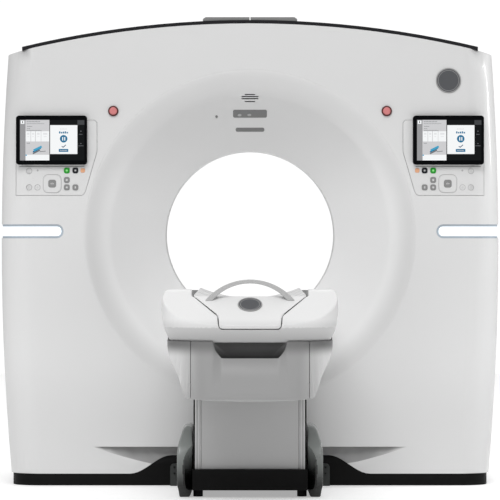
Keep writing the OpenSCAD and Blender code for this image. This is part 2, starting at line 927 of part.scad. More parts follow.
module table_base() {
    color("black") difference() {
        union() {
            translate([-base_half + seat_gap, base_y0 + 15, base_z0])
                cube([2 * (base_half - seat_gap), base_l - 15, base_z1 - base_z0]);
            // Feet round the anchor bolts
            for (s = [-1, 1], t = [-1, 1])
                translate([s * table_anchor_x / 2, base_mid_y + t * table_anchor_y / 2, 0])
                    cylinder(r = anchor_foot_r, h = base_z0 + 1);
            // Docking foot beside the gantry
            along_y(base_y1 - dock_l, base_y1) polygon(concat(
                [[dock_half, 0]],
                arc([dock_half - dock_edge, dock_h - dock_edge], dock_edge, 0, 90, 6),
                arc([dock_edge - dock_half, dock_h - dock_edge], dock_edge, 90, 180, 6),
                [[-dock_half, 0]]
            ));
        }
        // Sockets in the docking foot
        for (s = [-1, 1], z = [54, 80])
            translate([s * (dock_half - 19), base_y1 - dock_l - 1, z]) rotate([-90, 0, 0])
                cylinder(r = 5, h = 13, $fn = 24);
        for (s = [-1, 1], t = [-1, 1])
            translate([s * table_anchor_x / 2, base_mid_y + t * table_anchor_y / 2, -1])
                cylinder(r = table_anchor_r, h = base_z1 + 2);
    }
}

module fender(side) {
    y0 = base_y0;
    y1 = base_y1 - dock_l - seat_gap;
    x0 = base_half;
    x1 = base_half + fender_w;
    nose_r = 170;
    hollow_r = 200;
    color("gray") mirrored(side) difference() {
        intersection() {
            // Side outline: tucked-in toe, round nose and falling back
            along_x(x0 - 1, x1 + 1) polygon(concat(
                bend([[y0 + 40, 0], [y0 + 28, 18], [y0 + 8, 46], [y0 + 1, 84],
                      [y0, fender_h - nose_r]], 3),
                arc([y0 + nose_r, fender_h - nose_r], nose_r, 175, 90, 14),
                bend([[y0 + 320, fender_h], [y0 + 520, fender_h - 58], [y1 - 40, 152],
                      [y1 - 8, 128], [y1, 104]], 3),
                [[y1, 0]]
            ));
            // Front outline, drawn in at the foot
            along_y(y0 - 10, y1 + 10) polygon(concat(
                [[x0 + 11, 0], [x0, 30], [x0, fender_h]],
                bend([[x0 + 16, fender_h], [x0 + 28, fender_h - 4], [x0 + 41, fender_h - 19],
                      [x0 + 51, fender_h - 51], [x1 - 4, fender_h - 79],
                      [x1, fender_h - 112], [x1, fender_h - 150]], 4),
                [[x1, 50], [x1 - 5, 30], [x1 - 9, 0]]
            ));
        }
        // Hollow of the nose on its inner side, open downwards
        translate([x0 - 146, y0 - 88, 0]) rotate_extrude() polygon(concat(
            [[0, -10], [hollow_r, -10]], arc([0, 130], hollow_r, 0, 90, 16)
        ));
    }
}

module stage_outline(inset) {
    x = column_half - inset;
    y = column_d / 2 - inset;
    c = 26 - inset * 0.4;
    polygon([
        [x - c, -y], [x, -y + c], [x, y - c], [x - c, y],
        [-x + c, y], [-x, y - c], [-x, -y + c], [-x + c, -y]
    ]);
}

module stage(n, z0, z1) {
    step = column_wall + column_gap;
    translate([0, (column_y0 + column_y1) / 2, z0]) linear_extrude(z1 - z0) difference() {
        stage_outline(n * step);
        stage_outline(n * step + column_wall);
    }
}

module column_outer() {
    color("gray") stage(0, base_z1, column_top);
}

module column_mid() {
    color("darkgray") stage(1, mid_z0, mid_z1);
}

module column_inner() {
    color("silver") stage(2, inner_z0, frame_z);
}

// Section of the channel that the cradle's end cap fills, grown by a gap
module cap_section(grow) {
    x0 = 116 + grow;
    x1 = cap_half + grow;
    top = shoulder_z + 60;
    r = 12 + grow;
    z0 = crease_z - 4 - grow;
    polygon(concat(
        arc([x0 - r, z0 + r], r, -90, 0, 5),
        [[x0 + 4, 780 - grow], [x1, rim_z - 1], [x1, top], [-x1, top], [-x1, rim_z - 1],
         [-x0 - 4, 780 - grow]],
        arc([r - x0, z0 + r], r, 180, 270, 5)
    ));
}

// Plan of the table's rounded foot end, from the middle out to a half width
function nose_plan(half, y) =
    [for (i = [0:16]) let (a = 90 * i / 16)
        [half * pow(sin(a), 0.62), y + 250 * (1 - pow(cos(a), 0.62))]];

module nose(half, y0, y1) {
    p = nose_plan(half, y0);
    polygon(concat(
        p, [[half, y1], [-half, y1]],
        [for (i = [len(p) - 1:-1:1]) [-p[i][0], p[i][1]]]
    ));
}

module bezel_plan() {
    nose(bezel_half + 2, foot_y, bezel_y1);
}

module bezel_body() {
    w = bezel_half;
    intersection() {
        // Plan, with the band below the crease drawn in
        union() {
            translate([0, 0, crease_z]) linear_extrude(300) bezel_plan();
            hull() {
                translate([0, 0, crease_z - 0.5]) linear_extrude(1) bezel_plan();
                translate([0, 0, bezel_z0]) linear_extrude(1)
                    nose(0.92 * (bezel_half + 2), foot_y + bezel_tuck, bezel_y1);
            }
        }
        // Front outline
        along_y(foot_y - 10, bezel_y1 + 10) polygon(both_halves(concat(
            bend([[w - 28, shoulder_z], [w - 12, shoulder_z - 8], [w - 3, rim_z - 12],
                  [w, crease_z + 60], [w - 10, crease_z], [w - 22, bezel_z0 + 22],
                  [w - 34, bezel_z0 + 3], [w - 50, bezel_z0]], 3)
        )));
        // Side outline with the sloping hood
        along_x(-w - 10, w + 10) polygon([
            [foot_y, bezel_z0 - 1], [foot_y, hood_z0],
            [shoulder_y - 10, shoulder_z - 10 * hood_slope], [shoulder_y + 12, shoulder_z - 1.5],
            [shoulder_y + 34, shoulder_z],
            [bezel_y1, shoulder_z], [bezel_y1, bezel_z0 - 1]
        ]);
    }
}

module foot_bezel() {
    color("gainsboro") difference() {
        bezel_body();
        along_y(foot_y - 10, bezel_y1 + 10) cap_section(cap_gap);
        // Behind the ridge the cradle itself lies between the shoulders
        translate([-channel_half, ridge_y, crease_z - 6]) cube([2 * channel_half, 400, 300]);
        // Room for the frame, which carries the bezel from inside
        translate([-frame_front_half - seat_gap, ridge_y + 20, bezel_z0 - 10])
            cube([2 * (frame_front_half + seat_gap), 400, crease_z - 5 - bezel_z0 + 10]);
    }
}

module cradle_end_cap() {
    color("gainsboro") intersection() {
        bezel_body();
        along_y(foot_y - 10, ridge_y) cap_section(0);
    }
}

module cradle_handle() {
    // Radius and top of the arch's outer and inner edges: it thickens to its feet
    outer = [221, 914];
    inner = [187.2, 899];
    color("darkgray") difference() {
        along_y(foot_y + 137, foot_y + 163) intersection() {
            difference() {
                translate([0, outer[1] - outer[0]]) circle(r = outer[0]);
                translate([0, inner[1] - inner[0]]) circle(r = inner[0]);
            }
            translate([-300, hood_z0 + 60]) square([600, 200]);
        }
        // Its feet follow the sloping hood
        along_x(-300, 300) polygon([
            [foot_y, hood_z0 + seat_gap], [foot_y + 200, hood_z0 + 200 * hood_slope + seat_gap],
            [foot_y + 200, 600], [foot_y, 600]
        ]);
    }
}

module cradle() {
    x = cradle_half;
    r1 = (x * x + dish * dish) / (2 * dish);
    color("whitesmoke") along_y(cradle_y0, head_y - 10) difference() {
        polygon([
            [-x, rim_z], [-x, rim_z - 24], [-x + 14, bearer_z], [-keel_half, bearer_z],
            [-keel_half + 30, keel_z], [keel_half - 30, keel_z], [keel_half, bearer_z],
            [x - 14, bearer_z], [x, rim_z - 24], [x, rim_z]
        ]);
        translate([0, rim_z - dish + r1]) circle(r = r1, $fn = big_fn);
    }
}

module table_frame() {
    y0 = ridge_y + 24;
    y1 = head_y - table_wall - seat_gap;
    color("slategray") union() {
        translate([-frame_front_half, y0, frame_z]) cube([2 * frame_front_half, y1 - y0, frame_t]);
        translate([-frame_half, bezel_y1 + 10, frame_z])
            cube([2 * frame_half, y1 - bezel_y1 - 10, frame_t]);
        for (s = [-1, 1]) mirrored(s) {
            // Bearers that the cradle slides on
            translate([bearer_x, y0, frame_z + frame_t - 1])
                cube([bearer_w, y1 - y0, bearer_z - seat_gap - frame_z - frame_t + 1]);
            // Side webs that carry the covers
            translate([frame_half - 8, bezel_y1 + 10, frame_z])
                cube([8, y1 - bezel_y1 - 10, rail_top - table_wall - 14 - frame_z]);
        }
    }
}

// Cross-section of the belly: upright rails that draw in to a shallow keel
module belly_section(inset) {
    r = rail_half;
    half = concat(
        [[0, rail_top]],
        arc([r - 11, rail_top - 11], 11, 90, 0, 4),
        bend([[r + 1, 800], [r + 3, 740], [r + 4, 690], [r + 1, 650], [r - 9, 612],
              [r - 37, 556], [r - 49, 522], [r - 59, 491], [r - 67, 477],
              [r - 82, belly_z + 12], [r - 190, belly_z + 3], [0, belly_z]], 3)
    );
    polygon(both_halves(beside(half, inset)));
}

module belly_side(inset, top) {
    t = inset;
    polygon(concat(
        [[belly_y0 + t, top]],
        arc([belly_y0 + 60, 515], 60 - t, 180, 270, 10),
        [[belly_y0 + 80, belly_z - 5 + t]],
        [[belly_y1 - 110, belly_z - 5 + t]],
        arc([belly_y1 - 100, belly_z + 95], 100 - t, 270, 350, 10),
        [[belly_y1 + 4 - t, skirt_z - 6], [belly_y1 + 14, skirt_z + t]],
        [[head_y - t, skirt_z + t], [head_y - t, top]]
    ));
}

module belly_form(inset) {
    intersection() {
        along_y(foot_y, head_y) belly_section(inset);
        along_x(-400, 400) belly_side(inset, rail_top + 20);
        translate([0, 0, belly_z - 50]) linear_extrude(500) belly_plan(inset);
    }
}

module belly_shell() {
    difference() {
        belly_form(0);
        belly_form(table_wall);
        // The bezel takes the place of the upper part at the foot end
        translate([-400, foot_y - 10, bezel_z0 - 4]) cube([800, bezel_l + 11, 300]);
        // Open on top between the rails, where the cradle runs
        translate([-channel_half, foot_y - 10, frame_z]) cube([2 * channel_half, 3000, 300]);
        // Open below round the column
        translate([-panel_half - 12, belly_y1 + 4, 400]) cube([2 * panel_half + 24, 3000, frame_z - 400]);
        translate([-panel_half - 12, belly_y1 - 60, skirt_z - 20])
            cube([2 * panel_half + 24, 3000, frame_z - skirt_z + 20]);
    }
}

module recess_section(grow) {
    r = recess_half;
    z = recess_z0;
    half = bend([[r, bezel_z0 + 10], [r, z + 58], [r - 4, z + 40], [r - 9, z + 28], [r - 20, z + 13],
                 [r - 29, z + 4], [r - 40, z], [0, z]], 3);
    polygon(both_halves(beside(half, -grow)));
}

// Plan of the belly's nose, moved in by a distance
module belly_plan(inset) {
    nose(rail_half + 6 - inset, belly_y0 + inset, head_y);
}

// Lip behind a side cover, which carries the front panel's edge
module panel_lip(side) {
    z0 = 525;
    lip = table_wall + 4;
    mirrored(side) translate([0, 0, z0]) linear_extrude(bezel_z0 - 6 - z0) difference() {
        intersection() {
            union() {
                belly_plan(table_wall + seat_gap);
                intersection() {
                    belly_plan(table_wall / 2);
                    translate([panel_half - 9, belly_y0]) square([8, 200]);
                }
            }
            translate([panel_half - 9, belly_y0]) square([21, 200]);
        }
        belly_plan(lip);
    }
}

module front_panel() {
    top = bezel_z0 - 4;
    color("darkgray") difference() {
        union() {
            intersection() {
                belly_shell();
                translate([-panel_half, foot_y, 400]) cube([2 * panel_half, 3000, 400]);
            }
            panel_lip(-1);
            panel_lip(1);
            // Moulded tray behind the grip recess
            intersection() {
                along_y(belly_y0 + 1, belly_y0 + recess_depth + 4) recess_section(4);
                translate([-200, foot_y, 400]) cube([400, 300, top - 400]);
                belly_form(1);
            }
        }
        along_y(belly_y0 - 10, belly_y0 + recess_depth) recess_section(0);
        translate([-far / 2, belly_y1 - 60, 400]) cube([far, far, 400]);
    }
}

module table_side(side) {
    color("gainsboro") intersection() {
        belly_shell();
        mirrored(side) translate([panel_half + panel_seam, foot_y, 400]) cube([200, 3000, 500]);
    }
}

module cradle_drive() {
    color("dimgray") union() {
        translate([-drive_w / 2, drive_y0, frame_z - drive_h]) cube([drive_w, drive_l, drive_h]);
        translate([0, drive_y0 + drive_l / 2, frame_z - drive_h - 100])
            cylinder(r = 0.6 * drive_w / 2, h = 101);
    }
}

gantry_base();
stator_frame();
bearing_race();
bore_liner();
front_cover();
rear_cover();
front_funnel();
rear_funnel();
side_cover(-1);  // side_cover_left
side_cover(1);  // side_cover_right
top_cover();
vent_cap();
base_skirt();
light_bars();
display(-1);  // display_left
display(1);  // display_right
display_glass();
control_panel(-1);  // control_panel_left
control_panel(1);  // control_panel_right
indicator_windows();
stop_collars();
drive_motor();
drive_belt();
rotor_drum();
xray_tube();
collimator();
hv_generator();
detector_arc();
slip_ring();
cooler();
motor_pulley();
for (s = SIDES) {
    stop_button(s[1]);
    for (k = KEYS)
        key(k, s[1]);
}
table_base();
fender(-1);  // fender_left
fender(1);  // fender_right
column_outer();
column_mid();
column_inner();
table_frame();
foot_bezel();
front_panel();
table_side(-1);  // table_side_left
table_side(1);  // table_side_right
cradle_drive();
cradle();
cradle_end_cap();
cradle_handle();
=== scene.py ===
"""Studio picture of a computed tomography scanner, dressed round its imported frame."""
import json
import math

import bmesh
import bpy
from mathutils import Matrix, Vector
from mathutils.bvhtree import BVHTree
from mathutils.interpolate import poly_3d_calc

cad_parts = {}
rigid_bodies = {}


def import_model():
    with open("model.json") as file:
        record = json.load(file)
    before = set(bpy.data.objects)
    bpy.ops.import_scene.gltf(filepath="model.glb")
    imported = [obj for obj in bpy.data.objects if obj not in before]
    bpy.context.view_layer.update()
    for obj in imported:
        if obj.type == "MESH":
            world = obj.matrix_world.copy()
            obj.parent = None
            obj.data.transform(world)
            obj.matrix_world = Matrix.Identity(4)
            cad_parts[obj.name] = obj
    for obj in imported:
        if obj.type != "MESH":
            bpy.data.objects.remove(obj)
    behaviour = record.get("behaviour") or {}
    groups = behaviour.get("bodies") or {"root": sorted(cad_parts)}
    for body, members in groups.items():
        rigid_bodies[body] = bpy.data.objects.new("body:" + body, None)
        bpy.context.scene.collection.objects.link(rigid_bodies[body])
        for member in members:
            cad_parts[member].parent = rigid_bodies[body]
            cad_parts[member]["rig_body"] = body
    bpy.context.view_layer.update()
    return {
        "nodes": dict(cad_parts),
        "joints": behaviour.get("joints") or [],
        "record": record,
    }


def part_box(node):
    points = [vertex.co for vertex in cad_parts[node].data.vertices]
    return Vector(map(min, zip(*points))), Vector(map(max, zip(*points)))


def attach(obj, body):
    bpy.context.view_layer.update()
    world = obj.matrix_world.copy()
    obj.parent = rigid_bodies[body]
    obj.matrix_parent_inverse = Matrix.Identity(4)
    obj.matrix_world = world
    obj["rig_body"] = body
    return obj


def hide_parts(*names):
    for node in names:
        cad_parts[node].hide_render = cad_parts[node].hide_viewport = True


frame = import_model()

# Places read from the frame
JOINTS = {joint["name"]: joint for joint in frame["joints"]}
BORE_Z = JOINTS["rotor_spin"]["pos_m"][2]
FACE_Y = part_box("front_cover")[0].y
SIDES = {"left": -1, "right": 1}
SMALL_KEYS = ("key_green", "key_dark", "key_in", "key_up", "key_down")

# Camera: far in front of the bore and level with it, with its picture moved down a little
CAMERA_DISTANCE = 16.5
CAMERA_LENS = 274.8
CAMERA_RISE = -0.029

# Foot scoop in the front cover: its upper edge, its half width and its depth
SCOOP_Z = 0.1672
SCOOP_HALF = 0.80
SCOOP_DEPTH = 0.11

# Coloured border of the light grooves: its half height and how far out it starts
BORDER_HALF = 0.0302
BORDER_X = 0.8

# Lenses in the crown's upper window: places across and up, radius and depth
LENS_PLACES = ((-0.0455, 1.607), (-0.0030, 1.608))
LENS_RADIUS = 0.0085
LENS_DEPTH = 0.002

# Crease in the table's foot end, above its band that is painted in shade
CREASE_Z = 0.735

# Film keys and film lamp on a control panel: places across and up
FILM_KEYS = ((0.955, 1.288), (0.919, 1.288), (0.955, 1.359))
FILM_LAMP = (0.918, 1.361)

# Bare badges: place of the gantry's, height of the table's, and their radii
GANTRY_BADGE = (0.858, 1.750)
GANTRY_BADGE_RADIUS = 0.0545
TABLE_BADGE_Z = 0.819
TABLE_BADGE_RADIUS = 0.0467

# Grip recess in the table's front panel
RECESS_HALF = 0.142
RECESS_LOW = 0.612
RECESS_HIGH = 0.69
RECESS_START = 0.0075

# Nose of the belly: rounding of its lower edge, how far back its sides curve, and their fullness
NOSE_EDGE = 0.06
NOSE_RUN = 0.25
NOSE_POWER = 0.62
NOSE_STEPS = 30
RIM_RISE = 0.008

# Ball-shaped hollow of a fender's nose: its middle is inward of and in front of the fender
HOLLOW_INWARD = 0.146
HOLLOW_FORWARD = 0.088
HOLLOW_Z = 0.130
HOLLOW_RADIUS = 0.200
HOLLOW_BAND = 0.005

# Strips on the column's front: inner and outer edge, how far back they run, and their finish
COLUMN_STRIPS = ((0.2030, 0.2106, 0.004, "column_grey"), (0.2108, 0.2152, 0.006, "column_light"),
                 (0.2160, 0.2205, 0.004, "column_grey"), (0.2210, 0.2272, 0.012, "column_light"),
                 (0.2278, 0.2334, 0.060, "black_trim"))
STRIP_PROUD = 0.002
STRIP_TOP_GAP = 0.004

# How meshes are joined, smoothed and shaded, in metres and degrees
JOIN_DISTANCE = 0.00002
FLAT_ANGLE = 0.5
BEVEL_ANGLE = 40
SMOOTH_ANGLE = 32
BELLY_ANGLE = 34
SOFT_ANGLE = 30
SHADE_REACH = 0.03
CLOSE_GRID = 0.0034


def tone(red, green, blue):
    """A colour of 0 to 255 steps as linear light."""
    steps = [value / 255 for value in (red, green, blue)]
    return tuple(s / 12.92 if s <= 0.04045 else ((s + 0.055) / 1.055) ** 2.4 for s in steps)


def grey(level):
    return tone(level, level, level)


def make_camera():
    camera = bpy.data.cameras.new("front_camera")
    camera.lens = CAMERA_LENS
    camera.shift_y = CAMERA_RISE
    camera.clip_end = 200
    holder = bpy.data.objects.new("front_camera", camera)
    holder.location = (0, FACE_Y - CAMERA_DISTANCE, BORE_Z)
    holder.rotation_euler = (math.radians(90), 0, 0)
    bpy.context.scene.collection.objects.link(holder)
    bpy.context.scene.camera = holder


def make_area_light(name, place, target, size, watts):
    lamp = bpy.data.lights.new(name, "AREA")
    lamp.shape = "RECTANGLE"
    lamp.size, lamp.size_y = size
    lamp.energy = watts
    holder = bpy.data.objects.new(name, lamp)
    holder.location = place
    heading = Vector(target) - Vector(place)
    holder.rotation_euler = heading.to_track_quat("-Z", "Y").to_euler()
    bpy.context.scene.collection.objects.link(holder)


def make_studio_sky(backdrop, horizon, zenith, side_fall, side_shift):
    """A white backdrop behind soft light that grows overhead and falls off to both sides."""
    world = bpy.data.worlds.new("studio_sky")
    world.use_nodes = True
    bpy.context.scene.world = world
    nodes, links = world.node_tree.nodes, world.node_tree.links
    nodes.clear()
    place = nodes.new("ShaderNodeTexCoord")
    split = nodes.new("ShaderNodeSeparateXYZ")
    ramp = nodes.new("ShaderNodeMapRange")
    ramp.inputs["From Min"].default_value = 0.08
    ramp.inputs["From Max"].default_value = 0.9
    ramp.inputs["To Min"].default_value = horizon
    ramp.inputs["To Max"].default_value = zenith
    shift = nodes.new("ShaderNodeMath")
    shift.inputs[1].default_value = side_shift
    side = nodes.new("ShaderNodeMath")
    side.operation = "MULTIPLY"
    fall = nodes.new("ShaderNodeMath")
    fall.operation = "MULTIPLY_ADD"
    fall.inputs[1].default_value = -side_fall
    seen = nodes.new("ShaderNodeLightPath")
    choice = nodes.new("ShaderNodeMix")
    choice.inputs["B"].default_value = backdrop
    back = nodes.new("ShaderNodeBackground")
    back.inputs["Color"].default_value = (1, 1, 1, 1)
    out = nodes.new("ShaderNodeOutputWorld")
    links.new(place.outputs["Generated"], split.inputs[0])
    links.new(split.outputs["Z"], ramp.inputs["Value"])
    links.new(split.outputs["X"], shift.inputs[0])
    links.new(shift.outputs[0], side.inputs[0])
    links.new(shift.outputs[0], side.inputs[1])
    links.new(side.outputs[0], fall.inputs[0])
    links.new(ramp.outputs[0], fall.inputs[2])
    links.new(seen.outputs["Is Camera Ray"], choice.inputs["Factor"])
    links.new(fall.outputs[0], choice.inputs["A"])
    links.new(choice.outputs["Result"], back.inputs["Strength"])
    links.new(back.outputs[0], out.inputs["Surface"])


class Finish:
    """A node material built up step by step on object coordinates."""

    def __init__(self, name, colour, roughness, metallic=0.0, specular=0.5, coat=0.0):
        self.material = bpy.data.materials.new(name)
        self.material.use_nodes = True
        self.nodes = self.material.node_tree.nodes
        self.links = self.material.node_tree.links
        self.shader = self.nodes["Principled BSDF"]
        self.colour = colour
        self.shader.inputs["Base Color"].default_value = (*colour, 1)
        self.shader.inputs["Roughness"].default_value = roughness
        self.shader.inputs["Metallic"].default_value = metallic
        self.shader.inputs["Specular IOR Level"].default_value = specular
        self.shader.inputs["Coat Weight"].default_value = coat
        self.shader.inputs["Coat Roughness"].default_value = 0.12
        self.place = self.nodes.new("ShaderNodeTexCoord")
        self.relief = None
        self.tint = None

    def noise(self, scale, detail, stretch):
        mapping = self.nodes.new("ShaderNodeMapping")
        mapping.inputs["Scale"].default_value = stretch
        texture = self.nodes.new("ShaderNodeTexNoise")
        texture.inputs["Scale"].default_value = scale
        texture.inputs["Detail"].default_value = detail
        self.links.new(self.place.outputs["Object"], mapping.inputs["Vector"])
        self.links.new(mapping.outputs["Vector"], texture.inputs["Vector"])
        return texture.outputs["Fac"]

    def spread(self, value, low, high):
        """The middle of a noise, from 0.35 to 0.65, taken to low and high."""
        ramp = self.nodes.new("ShaderNodeMapRange")
        ramp.inputs["From Min"].default_value = 0.35
        ramp.inputs["From Max"].default_value = 0.65
        ramp.inputs["To Min"].default_value = low
        ramp.inputs["To Max"].default_value = high
        self.links.new(value, ramp.inputs["Value"])
        return ramp.outputs[0]

    def clouds(self, scale, amount, stretch=(1, 1, 1)):
        """Faint variation of the colour, as in a moulding or a rolled sheet."""
        mix = self.nodes.new("ShaderNodeMix")
        mix.data_type = "RGBA"
        mix.inputs["A"].default_value = (*[c * (1 - amount) for c in self.colour], 1)
        mix.inputs["B"].default_value = (*[min(1.0, c * (1 + amount)) for c in self.colour], 1)
        self.links.new(self.spread(self.noise(scale, 3, stretch), 0, 1), mix.inputs["Factor"])
        self.tint = mix.outputs["Result"]
        self.links.new(self.tint, self.shader.inputs["Base Color"])
        return self

    def fade(self, axis, start, stop, colour):
        """Takes the clouded colour over into another one along an axis."""
        split = self.nodes.new("ShaderNodeSeparateXYZ")
        ramp = self.nodes.new("ShaderNodeMapRange")
        ramp.interpolation_type = "SMOOTHSTEP"
        ramp.inputs["From Min"].default_value = start
        ramp.inputs["From Max"].default_value = stop
        mix = self.nodes.new("ShaderNodeMix")
        mix.data_type = "RGBA"
        mix.inputs["B"].default_value = (*colour, 1)
        self.links.new(self.place.outputs["Object"], split.inputs[0])
        self.links.new(split.outputs[axis], ramp.inputs["Value"])
        self.links.new(ramp.outputs[0], mix.inputs["Factor"])
        self.links.new(self.tint, mix.inputs["A"])
        self.tint = mix.outputs["Result"]
        self.links.new(self.tint, self.shader.inputs["Base Color"])
        return self

    def sheen_spread(self, scale, low, high, stretch=(1, 1, 1)):
        """Roughness that wanders between two values."""
        value = self.spread(self.noise(scale, 4, stretch), low, high)
        self.links.new(value, self.shader.inputs["Roughness"])
        return self

    def grain(self, scale, depth, stretch=(1, 1, 1), detail=2.0):
        """Fine relief of the given depth in metres."""
        bump = self.nodes.new("ShaderNodeBump")
        bump.inputs["Distance"].default_value = depth
        bump.inputs["Strength"].default_value = 1.0
        self.links.new(self.noise(scale, detail, stretch), bump.inputs["Height"])
        if self.relief is not None:
            self.links.new(self.relief, bump.inputs["Normal"])
        self.relief = bump.outputs["Normal"]
        self.links.new(self.relief, self.shader.inputs["Normal"])
        return self

    def glow(self, colour, strength):
        self.shader.inputs["Emission Color"].default_value = (*colour, 1)
        self.shader.inputs["Emission Strength"].default_value = strength
        return self


def moulded(name, colour, roughness, depth=0.00003, coat=0.0, specular=0.3, fades=()):
    """Lacquered or grained moulding with a slight orange peel."""
    finish = Finish(name, colour, roughness, specular=specular, coat=coat)
    finish.clouds(1.6, 0.012)
    for fade in fades:
        finish.fade(*fade)
    finish.sheen_spread(9, roughness - 0.05, roughness + 0.06)
    return finish.grain(420, depth).grain(7, depth * 5, detail=1).material


def textured(name, colour, roughness, depth=0.00012, specular=0.06):
    """Fine spark-eroded grain, as on black and grey trim."""
    finish = Finish(name, colour, roughness, specular=specular)
    finish.clouds(5, 0.04)
    finish.sheen_spread(30, roughness - 0.08, roughness + 0.08)
    return finish.grain(900, depth, detail=3).material


def painted(name, colour, roughness):
    """Powder-coated sheet metal."""
    finish = Finish(name, colour, roughness, specular=0.45)
    finish.clouds(2.2, 0.03)
    finish.sheen_spread(12, roughness - 0.06, roughness + 0.06)
    return finish.grain(600, 0.00006).material


def brushed(name, colour, roughness, stretch=(1, 1, 0.03)):
    """Metal with fine strokes along one way."""
    finish = Finish(name, colour, roughness, metallic=1.0)
    finish.clouds(160, 0.08, stretch)
    finish.sheen_spread(220, roughness - 0.07, roughness + 0.1, stretch)
    return finish.grain(300, 0.00004, stretch).material


def lit(name, colour, strength):
    """A picture or lens that shines by itself, with a very faint unevenness."""
    finish = Finish(name, tuple(c * 0.02 for c in colour), 0.25, specular=0.04)
    finish.sheen_spread(60, 0.21, 0.29)
    return finish.grain(500, 0.00001).glow(colour, strength).material


